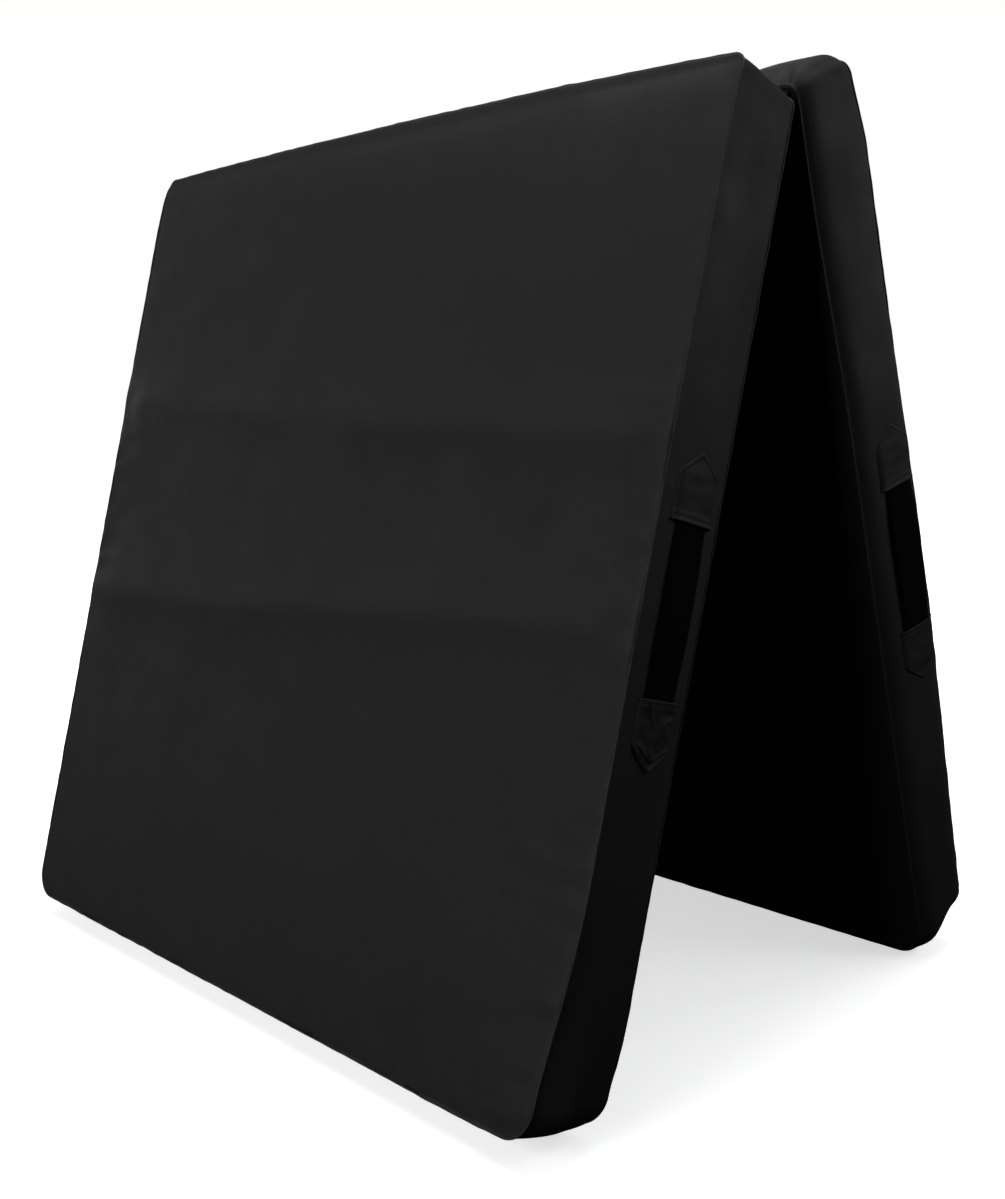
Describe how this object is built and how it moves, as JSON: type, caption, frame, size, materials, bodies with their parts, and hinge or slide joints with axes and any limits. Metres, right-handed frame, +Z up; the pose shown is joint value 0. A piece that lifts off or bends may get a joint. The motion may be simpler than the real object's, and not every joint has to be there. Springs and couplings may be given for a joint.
{
  "type": "folding gym mat",
  "caption": "Two-panel folding gym mat with foam cores, sewn vinyl covers, side zips and webbing carry handles, standing open like a tent.",
  "frame": {"origin": "on the floor, under the middle of the object's box", "axes": "+X along the fold, +Y from the front panel towards the rear panel, +Z up"},
  "size_m": [1.2662, 0.895, 1.2096],
  "materials": {
    "cover_vinyl": "near-black vinyl-coated cloth with a fine grain and a soft satin sheen",
    "patch_vinyl": "near-black vinyl-coated cloth, sewn round its edge",
    "webbing": "black woven polypropylene webbing",
    "foam": null,
    "zip_tape": "black woven zip tape",
    "zip_coil": "black nylon coil",
    "zip_metal": "black painted zinc"
  },
  "bodies": {
    "front_panel": {"front_foam_inner": "foam", "front_foam_outer": "foam", "front_inner_face": "cover_vinyl", "front_outer_face": "cover_vinyl", "front_inner_seam": "cover_vinyl", "front_outer_seam": "cover_vinyl", "front_right_gusset": "cover_vinyl", "front_left_gusset": "cover_vinyl", "front_fold_gusset": "cover_vinyl", "front_foot_gusset": "cover_vinyl", "front_hinge_leaf": "cover_vinyl", "front_right_strap_ends": "webbing", "front_left_strap_ends": "webbing", "front_right_upper_patch": "patch_vinyl", "front_right_lower_patch": "patch_vinyl", "front_left_upper_patch": "patch_vinyl", "front_left_lower_patch": "patch_vinyl", "front_zip_tapes": "zip_tape", "front_zip_coil": "zip_coil", "front_zip_stops": "zip_metal"},
    "front_right_handle": {"front_right_grip": "webbing"},
    "front_left_handle": {"front_left_grip": "webbing"},
    "front_slider": {"front_zip_slider": "zip_metal"},
    "front_pull": {"front_zip_pull": "zip_metal"},
    "rear_panel": {"rear_foam_inner": "foam", "rear_foam_outer": "foam", "rear_inner_face": "cover_vinyl", "rear_outer_face": "cover_vinyl", "rear_inner_seam": "cover_vinyl", "rear_outer_seam": "cover_vinyl", "rear_right_gusset": "cover_vinyl", "rear_left_gusset": "cover_vinyl", "rear_fold_gusset": "cover_vinyl", "rear_foot_gusset": "cover_vinyl", "rear_hinge_leaf": "cover_vinyl", "rear_right_strap_ends": "webbing", "rear_left_strap_ends": "webbing", "rear_right_upper_patch": "patch_vinyl", "rear_right_lower_patch": "patch_vinyl", "rear_left_upper_patch": "patch_vinyl", "rear_left_lower_patch": "patch_vinyl", "rear_zip_tapes": "zip_tape", "rear_zip_coil": "zip_coil", "rear_zip_stops": "zip_metal"},
    "rear_right_handle": {"rear_right_grip": "webbing"},
    "rear_left_handle": {"rear_left_grip": "webbing"},
    "rear_slider": {"rear_zip_slider": "zip_metal"},
    "rear_pull": {"rear_zip_pull": "zip_metal"}
  },
  "joints": [
    {"name": "main_fold", "type": "hinge", "parent": "front_panel", "child": "rear_panel", "pos_m": [0, 0.03161, 1.18004], "axis": [1, 0, 0], "range_deg": [-32.3, 147.7]},
    {"name": "front_right_grip_lift", "type": "slide", "parent": "front_panel", "child": "front_right_handle", "axis": [1, 0, 0], "range_m": [0, 0.022]},
    {"name": "front_left_grip_lift", "type": "slide", "parent": "front_panel", "child": "front_left_handle", "axis": [-1, 0, 0], "range_m": [0, 0.022]},
    {"name": "front_zip_travel", "type": "slide", "parent": "front_panel", "child": "front_slider", "axis": [0, 0.3024, 0.9532], "range_m": [0, 1.0764]},
    {"name": "front_pull_swing", "type": "hinge", "parent": "front_slider", "child": "front_pull", "pos_m": [-0.61565, -0.33506, 0.07551], "axis": [0.0926, 0.9491, -0.3011], "range_deg": [0, 170]},
    {"name": "rear_right_grip_lift", "type": "slide", "parent": "rear_panel", "child": "rear_right_handle", "axis": [1, 0, 0], "range_m": [0, 0.022]},
    {"name": "rear_left_grip_lift", "type": "slide", "parent": "rear_panel", "child": "rear_left_handle", "axis": [-1, 0, 0], "range_m": [0, 0.022]},
    {"name": "rear_zip_travel", "type": "slide", "parent": "rear_panel", "child": "rear_slider", "axis": [0, -0.2538, 0.9673], "range_m": [0, 1.0764]},
    {"name": "rear_pull_swing", "type": "hinge", "parent": "rear_slider", "child": "rear_pull", "pos_m": [-0.619, 0.33612, 0.07546], "axis": [-0.3519, 0.9054, 0.2375], "range_deg": [0, 170]}
  ]
}
